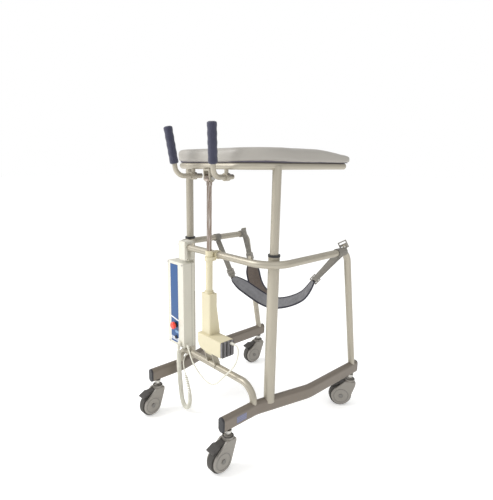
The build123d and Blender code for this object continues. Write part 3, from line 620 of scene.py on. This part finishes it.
panel_print.feed("Base Color", printed)
panel_print.relief(panel_print.noise(500), 0.05, 0.0002)
give(panel_print, "control_panel")
stop_red = Finish("stop_red", roughness=0.25, coat_weight=0.3)
stop_red.feed("Base Color", stop_red.mix((0.80, 0.030, 0.018), (0.95, 0.07, 0.04), stop_red.noise(30, 3)))
stop_red.relief(stop_red.noise(400), 0.05, 0.0002)
give(stop_red, "estop_button")
give(black_plastic, "battery_pack", "circuit_board", "handset_up_button", "handset_down_button")
box_low, box_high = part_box("control_box_front")
box_mid = (box_low + box_high) / 2


def screw_head(place, outwards, radius):
    """Pan-head screw with a round drive recess."""
    bpy.ops.mesh.primitive_cylinder_add(vertices=32, radius=radius, depth=0.0024)
    screw = bpy.context.object
    stepped_end(screw, [(radius * 0.18, 0.0005), (radius * 0.42, 0.0), (radius * 0.04, -0.0014)])
    bpy.ops.object.shade_smooth_by_angle(angle=math.radians(40))
    screw.matrix_world = facing(place, outwards)
    return screw


FORWARDS = Vector((0.0, -1.0, 0.0))
SCREW_R, SCREW_OUT_X, SCREW_OUT_Z = 0.0042, 0.051, 0.187
for count, (sx, sz) in enumerate([(1, 1), (1, -1), (-1, 1), (-1, -1)]):
    screw_x, screw_z = box_mid.x + sx * SCREW_OUT_X, box_mid.z + sz * SCREW_OUT_Z
    screw = screw_head(Vector((screw_x, box_low.y - 0.0004, screw_z)), FORWARDS, SCREW_R)
    settle(screw, f"box_screw_{count + 1}", "frame", "zinc_steel", zinc)


def select_edges_along(piece, axis, least):
    """Edit mode with only the edges selected that run further than least along an axis."""
    bpy.ops.object.mode_set(mode="EDIT")
    bpy.ops.mesh.select_mode(type="EDGE")
    bpy.ops.mesh.select_all(action="DESELECT")
    mesh = bmesh.from_edit_mesh(piece.data)
    for edge in mesh.edges:
        edge.select_set(abs(edge.verts[0].co[axis] - edge.verts[1].co[axis]) > least)
    bmesh.update_edit_mesh(piece.data)


GASKET_Y = -0.205
bpy.ops.mesh.primitive_cube_add(size=1.0, location=(box_mid.x, GASKET_Y, box_mid.z))
gasket = bpy.context.object
gasket.scale = (box_high.x - box_low.x + 0.0006, 0.0014, box_high.z - box_low.z + 0.0006)
bpy.ops.object.transform_apply(location=False, rotation=False, scale=True)
select_edges_along(gasket, 1, 0.001)
bpy.ops.mesh.bevel(offset=0.0072, segments=6)
bpy.ops.mesh.select_mode(type="FACE")
bpy.ops.object.mode_set(mode="OBJECT")
gasket_grey = moulded("gasket_grey", (0.33, 0.315, 0.27), 0.6)
settle(gasket, "box_gasket", "frame", "grey_plastic", gasket_grey)

SOCKET_R, SOCKET_Z = 0.0085, 0.330
bpy.ops.mesh.primitive_cylinder_add(vertices=40, radius=SOCKET_R, depth=0.004)
socket = bpy.context.object
stepped_end(socket, [(0.0022, 0.0), (0.0004, -0.0028), (0.0038, 0.0), (0.0002, 0.0020)])
bpy.ops.object.shade_smooth_by_angle(angle=math.radians(40))
socket.matrix_world = facing(Vector((box_mid.x + 0.003, box_low.y - 0.0015, SOCKET_Z)), FORWARDS)
settle(socket, "charging_socket", "frame", "dark_plastic", black_plastic)

# ---- Forearm pad ---------------------------------------------------------------------------
# A horseshoe of foam under silver-beige vinyl, on a board that wears a dark cover cloth. The
# foam is thickest across the front and thins towards the two rear tips. Cloth under a little
# pressure gives the vinyl its swell, and what follows holds, smooths and lowers it.
vinyl = Finish("pad_vinyl", roughness=0.42, coat_weight=0.08)
grain = vinyl.cells(620.0)
tone = vinyl.noise(5, 4.0)
vinyl.feed("Base Color", vinyl.mix((0.42, 0.40, 0.36), (0.35, 0.33, 0.30), tone))
vinyl.feed("Roughness", 0.36 + tone * 0.14)
vinyl.relief(grain, 0.35, 0.0004)
PAD_VOXEL = 0.0055
PAD_PRESSURE, PAD_STIFFNESS, PAD_FRAMES = 4.0, 30.0, 20
SWELL_CAP = 0.008
TAPER_START, TAPER_END, TAPER_LOSS = 0.06, 0.31, 0.56
NOSE_START, NOSE_LONG, NOSE_LOSS, NOSE_LIFT = 0.262, 0.044, 0.30, 0.006
PAD_FLATTEN = 0.88
pad_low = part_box("forearm_pad")[0]
bpy.ops.mesh.primitive_cube_add(size=0.01)
forearm = bpy.context.object
forearm.data = nodes["forearm_pad"].data.copy()
clear_selection()
forearm.select_set(True)
bpy.context.view_layer.objects.active = forearm
bpy.ops.object.mode_set(mode="EDIT")
bpy.ops.mesh.select_all(action="SELECT")
bpy.ops.mesh.remove_doubles(threshold=0.00005)
bpy.ops.object.mode_set(mode="OBJECT")
solid = forearm.modifiers.new("solid", "REMESH")
solid.mode = "VOXEL"
solid.voxel_size = PAD_VOXEL
bpy.ops.object.modifier_apply(modifier="solid")
rest = [vertex.co.copy() for vertex in forearm.data.vertices]
cloth = forearm.modifiers.new("swell", "CLOTH")
cloth.settings.use_pressure = True
cloth.settings.uniform_pressure_force = PAD_PRESSURE
cloth.settings.effector_weights.gravity = 0.0
cloth.settings.tension_stiffness = PAD_STIFFNESS
cloth.settings.compression_stiffness = PAD_STIFFNESS
for step in range(1, PAD_FRAMES + 1):
    scene.frame_set(step)
bpy.ops.object.modifier_apply(modifier="swell")
scene.frame_set(1)
for vertex, before in zip(forearm.data.vertices, rest):
    moved = vertex.co - before
    if moved.length > SWELL_CAP:
        vertex.co = before + moved.normalized() * SWELL_CAP
smooth = forearm.modifiers.new("smooth", "SMOOTH")
smooth.iterations = 12
smooth.factor = 0.5
bpy.ops.object.modifier_apply(modifier="smooth")
floor_z = pad_low.z + 0.0004
for vertex in forearm.data.vertices:
    share = min(max((vertex.co.y - TAPER_START) / (TAPER_END - TAPER_START), 0.0), 1.0)
    thin = 1.0 - TAPER_LOSS * share ** 1.5
    nose = min(max((vertex.co.y - NOSE_START) / NOSE_LONG, 0.0), 1.0)
    height_now = (vertex.co.z - pad_low.z) * thin * PAD_FLATTEN
    height_now = height_now * (1.0 - NOSE_LOSS * nose ** 2) + NOSE_LIFT * nose ** 2
    vertex.co.z = max(pad_low.z + height_now, floor_z)
for polygon in forearm.data.polygons:
    polygon.use_smooth = True
settle(forearm, "forearm_cushion", "carriage", "pad_vinyl", vinyl)
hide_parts("forearm_pad")
board_cover = moulded("board_cover", (0.105, 0.095, 0.125), 0.6, 500)
give(board_cover, "pad_board")

# ---- Hand grips ----------------------------------------------------------------------------
# Navy foam sleeves with a rounded top and shallow finger grooves, pushed over the handles.
foam = Finish("navy_foam", roughness=0.85, sheen_weight=0.3)
cells = foam.cells(900.0)
foam.feed("Base Color", foam.mix((0.026, 0.027, 0.052), (0.050, 0.051, 0.088), foam.noise(25, 4)))
foam.relief(cells, 0.5, 0.0006)
HANDLE_CORNER = Vector((0.109, -0.321, 1.050))
HANDLE_TOP = Vector((0.128, -0.344, 1.228))
GRIP_R, GRIP_ROUND = 0.017, 0.006
GRIP_CUTS = 46
FINGER_PITCH, FINGER_DEPTH = 0.029, 0.0011
FINGERS_START, FINGERS_STOP = 0.012, 0.016
for side, word in ((1, "right"), (-1, "left")):
    low = Vector((HANDLE_CORNER.x * side, HANDLE_CORNER.y, HANDLE_CORNER.z))
    high = Vector((HANDLE_TOP.x * side, HANDLE_TOP.y, HANDLE_TOP.z))
    rise = (high - low).normalized()
    foot, top = low + rise * 0.046, high + rise * 0.004
    long = (top - foot).length
    bpy.ops.mesh.primitive_cylinder_add(vertices=48, radius=GRIP_R, depth=long, end_fill_type="TRIFAN")
    grip = bpy.context.object
    select_edges_along(grip, 2, long * 0.5)
    bpy.ops.mesh.subdivide(number_cuts=GRIP_CUTS)
    bpy.ops.object.mode_set(mode="OBJECT")
    for vertex in grip.data.vertices:
        height = vertex.co.z + long / 2
        radius = math.hypot(vertex.co.x, vertex.co.y)
        if radius < 0.001:
            continue
        finger = 0.5 - 0.5 * math.cos(2 * math.pi * (height - FINGERS_START) / FINGER_PITCH)
        groove = FINGER_DEPTH * finger if FINGERS_START < height < long - FINGERS_STOP else 0.0
        end = min(height, long - height)
        left = max(0.0, GRIP_ROUND - end)
        round_off = GRIP_ROUND - math.sqrt(max(0.0, GRIP_ROUND ** 2 - left ** 2))
        share = (GRIP_R - groove - round_off) / radius
        vertex.co.x *= share
        vertex.co.y *= share
    bpy.ops.object.shade_smooth_by_angle(angle=math.radians(50))
    grip.matrix_world = facing((foot + top) / 2, rise)
    settle(grip, f"foam_grip_{word}", f"handle_{word}", "grip_foam", foam)
    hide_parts(f"grip_{word}")

# ---- Sling ---------------------------------------------------------------------------------
# Two padded bands that cross under the hips: grey cloth outside, grey cloth inside the front band
# and brown spacer mesh inside the rear one, and a navy binding sewn over the edges. Their
# leaf-shaped ends hang from flat webbing and buckles.
sling_cloth = Finish("sling_cloth", roughness=0.85)
weave = (sling_cloth.along(0) * 2600.0).wave() * (sling_cloth.along(2) * 2600.0).wave()
cloth_tone = sling_cloth.noise(45, 4)
sling_cloth.feed("Base Color", sling_cloth.mix((0.155, 0.155, 0.165), (0.30, 0.30, 0.315), cloth_tone))
sling_cloth.relief(weave + sling_cloth.noise(220, 3), 0.5, 0.0006)
spacer_mesh = Finish("spacer_mesh", roughness=0.9)
holes = spacer_mesh.cells(420.0)
threads = (holes * 2.2).clamp()
spacer_mesh.feed("Base Color", spacer_mesh.mix((0.035, 0.028, 0.024), (0.155, 0.125, 0.105), threads))
spacer_mesh.relief(holes, 0.8, 0.0010)
binding = Finish("navy_binding", roughness=0.7)
binding.feed("Base Color", binding.mix((0.012, 0.012, 0.022), (0.032, 0.032, 0.052), binding.noise(200, 3)))
binding.relief(binding.noise(900, 2), 0.4, 0.0005)
webbing = Finish("webbing", roughness=0.75)
ribs = (webbing.along(2) * 1800.0).wave()
webbing.feed("Base Color", webbing.mix((0.27, 0.255, 0.225), (0.17, 0.16, 0.14), webbing.noise(90, 4)))
webbing.relief(ribs + webbing.noise(500, 2), 0.4, 0.0005)
BAND_HALF, BAND_RIM, BAND_CROWN = 0.036, 0.0036, 0.0050
BAND_CUTS = 90
BINDING_FROM, BINDING_MID, BINDING_HALF = 0.82, 0.91, 0.09
LEAF_NARROW, LEAF_SHARE, TIP_SHARE = 0.44, 0.17, 0.03
WEBBING_T = 0.0022


def upright(start, end, along, height):
    """Place in the upright plane through two plan points, at a distance along it and a height."""
    run = (Vector((*end, 0.0)) - Vector((*start, 0.0))).normalized()
    return Vector((*start, height)) + run * along


def place_on(line, share):
    """Place and direction at a share of a line's length."""
    spans = [(b - a).length for a, b in zip(line, line[1:])]
    left = min(max(share, 0.0), 1.0) * sum(spans)
    for a, b, span in zip(line, line[1:], spans):
        if left <= span or b is line[-1]:
            return a.lerp(b, min(left / span, 1.0)), (b - a).normalized()
        left -= span


def padded_band(name, route, across, inside, roll=(0.0, 0.0)):
    """Leaf-ended padded band along a route, crowned between two bound edges."""
    line = smooth_line(route)
    bpy.ops.mesh.primitive_cylinder_add(vertices=48, radius=1.0, depth=1.0, end_fill_type="TRIFAN")
    band = bpy.context.object
    select_edges_along(band, 2, 0.5)
    bpy.ops.mesh.subdivide(number_cuts=BAND_CUTS)
    bpy.ops.object.mode_set(mode="OBJECT")
    for finish in (sling_cloth, inside, binding):
        band.data.materials.append(finish.material)
    for polygon in band.data.polygons:
        polygon.use_smooth = True
        edge_on = abs(polygon.center.x) > 0.78 or abs(polygon.center.z) > 0.492
        polygon.material_index = 2 if edge_on else (1 if polygon.center.y > 0 else 0)
    for vertex in band.data.vertices:
        share, over, side = vertex.co.z + 0.5, vertex.co.x, vertex.co.y
        place, along = place_on(line, share)
        turn = Quaternion(along, roll[0] + (roll[1] - roll[0]) * share)
        wide = turn @ across
        up = wide.cross(along).normalized()
        near_end = min(share, 1.0 - share)
        widening = math.sin(math.pi / 2 * min(1.0, near_end / LEAF_SHARE))
        leaf = LEAF_NARROW + (1 - LEAF_NARROW) * widening
        tip = math.sqrt(max(0.0, 1.0 - (1.0 - min(1.0, near_end / TIP_SHARE)) ** 2))
        if abs(over) > BINDING_FROM:
            off_middle = (abs(over) - BINDING_MID) / BINDING_HALF
            thick = BAND_RIM * math.sqrt(max(0.0, 1.0 - off_middle ** 2))
        else:
            crown = 1.0 - (over / BINDING_FROM) ** 2
            wave = 0.0006 * math.sin(share * 90.0) * crown
            thick = 0.0012 + BAND_CROWN * crown + wave
        lift = thick * (0.35 + 0.65 * tip) * (1 if side > 0.001 else -1 if side < -0.001 else 0)
        vertex.co = place + wide * over * BAND_HALF * leaf * max(tip, 0.12) + up * lift
    settle(band, name, "frame", "sling_cloth")
    return band


def webbing_run(name, route, facing, width):
    """Flat webbing along a route, with the way its face looks at both ends."""
    line = smooth_line(route)
    bpy.ops.mesh.primitive_grid_add(x_subdivisions=60, y_subdivisions=6, size=1.0)
    run = bpy.context.object
    for vertex in run.data.vertices:
        share, over = vertex.co.x + 0.5, vertex.co.y
        place, along = place_on(line, share)
        across = along.cross(facing[0].lerp(facing[1], share)).normalized()
        vertex.co = place + across * over * width
    thick = run.modifiers.new("thick", "SOLIDIFY")
    thick.thickness = WEBBING_T
    thick.offset = 0.0
    edge = run.modifiers.new("edge", "BEVEL")
    edge.width = 0.0006
    edge.limit_method = "ANGLE"
    settle(run, name, "frame", "webbing", webbing)
    return run


def buckle(name, place, along, face):
    """Moulded ladder buckle: a rounded frame with a centre bar."""
    across = along.cross(face).normalized()
    face = across.cross(along).normalized()
    bpy.ops.mesh.primitive_grid_add(x_subdivisions=2, y_subdivisions=1, size=1.0)
    piece = bpy.context.object
    bpy.ops.object.mode_set(mode="EDIT")
    bpy.ops.mesh.select_mode(type="FACE")
    bpy.ops.mesh.select_all(action="SELECT")
    bpy.ops.mesh.inset(thickness=0.13, depth=0.0, use_individual=True)
    bpy.ops.mesh.delete(type="FACE")
    bpy.ops.object.mode_set(mode="OBJECT")
    for vertex in piece.data.vertices:
        vertex.co = place + along * vertex.co.x * 0.034 + across * vertex.co.y * 0.036
    thick = piece.modifiers.new("thick", "SOLIDIFY")
    thick.thickness = 0.005
    thick.offset = 0.0
    edge = piece.modifiers.new("edge", "BEVEL")
    edge.width = 0.0012
    edge.segments = 2
    settle(piece, name, "frame", "grey_plastic", castor_plastic)
    return piece


A_NEAR, A_FAR = (0.290, 0.200), (-0.290, 0.043)
B_NEAR, B_FAR = (-0.290, 0.236), (0.090, 0.140)
BAND_A = [(0.100, 0.613), (0.128, 0.552), (0.175, 0.512), (0.245, 0.480), (0.310, 0.470),
          (0.400, 0.505), (0.512, 0.560)]
BAND_B = [(0.062, 0.613), (0.080, 0.555), (0.108, 0.505), (0.150, 0.478), (0.210, 0.464),
          (0.285, 0.462), (0.360, 0.462)]


def hung_band(name, start, end, shape, inside, roll):
    """Padded band whose middle line hangs in the upright plane through two plan points."""
    sideways = Vector((end[0] - start[0], end[1] - start[1], 0.0)).normalized().cross(Vector((0, 0, 1)))
    return padded_band(name, [upright(start, end, *p) for p in shape], sideways, inside, roll)


band_a = hung_band("sling_band_front", A_NEAR, A_FAR, BAND_A, sling_cloth, (-0.60, -0.45))
band_b = hung_band("sling_band_rear", B_NEAR, B_FAR, BAND_B, spacer_mesh, (0.55, 0.25))
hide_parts("sling_bands")
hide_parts("sling_bands")
seen = Vector((0.56, -0.80, 0.20))
near_tip = upright(A_NEAR, A_FAR, 0.106, 0.604)
near_top = upright(A_NEAR, A_FAR, 0.003, 0.7345)
front_tip = upright(A_NEAR, A_FAR, 0.506, 0.556)
front_top = upright(A_NEAR, A_FAR, 0.5975, 0.7335)
far_tip = upright(B_NEAR, B_FAR, 0.064, 0.604)
far_top = Vector((-0.2835, 0.210, 0.778))


def straight(start, end, bow=Vector((0.0, 0.0, 0.0))):
    """Route between two places with a slight bow."""
    return [start, start.lerp(end, 0.35) + bow, start.lerp(end, 0.7) + bow, end]


NARROW_WEB, WIDE_WEB = 0.022, 0.025
spread = Vector((0.0, 0.016, 0.0))
flat, twisted = (seen, seen), (seen, Vector((0.75, -0.5, 0.4)))
runs = [
    webbing_run("strap_near_front", straight(near_tip, near_top - spread), flat, NARROW_WEB),
    webbing_run("strap_near_rear", straight(near_tip, near_top + spread), twisted, NARROW_WEB),
    webbing_run("strap_front_left", straight(front_tip, front_top), flat, WIDE_WEB),
    webbing_run("strap_far", straight(far_tip, far_top), flat, WIDE_WEB),
]
for run in runs:
    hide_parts("sling_straps")
WAIST_RAIL_Z = 0.748
RAIL_LOOP_R = 0.0152
RAIL_LOOPS = {
    "near": (0.296, 0.198, 0.056), "far": (-0.296, 0.214, 0.034), "front_left": (-0.296, 0.045, 0.030)}
for word, (loop_x, loop_y, loop_long) in RAIL_LOOPS.items():
    bpy.ops.mesh.primitive_cylinder_add(
        vertices=64, radius=RAIL_LOOP_R, depth=loop_long, end_fill_type="NOTHING",
        location=(loop_x, loop_y, WAIST_RAIL_Z), rotation=(math.pi / 2, 0.0, 0.0))
    loop = bpy.context.object
    cloth_wall = loop.modifiers.new("cloth_wall", "SOLIDIFY")
    cloth_wall.thickness = WEBBING_T
    cloth_wall.offset = 1.0
    loop_edge = loop.modifiers.new("loop_edge", "BEVEL")
    loop_edge.width = 0.0006
    loop_edge.limit_method = "ANGLE"
    bpy.ops.object.shade_smooth_by_angle(angle=math.radians(40))
    settle(loop, f"rail_loop_{word}", "frame", "webbing", webbing)
    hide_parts("sling_straps")
ring_slope = Vector((-0.30, -0.36, 0.88)).normalized()
buckle("ring_near", Vector((0.291, 0.224, 0.7745)), ring_slope, seen)
buckle("buckle_near", near_tip.lerp(near_top, 0.10), (near_top - near_tip).normalized(), seen)
buckle("buckle_front_left", front_tip.lerp(front_top, 0.16), (front_top - front_tip).normalized(), seen)
buckle("buckle_far", far_tip.lerp(far_top, 0.20), (far_top - far_tip).normalized(), seen)
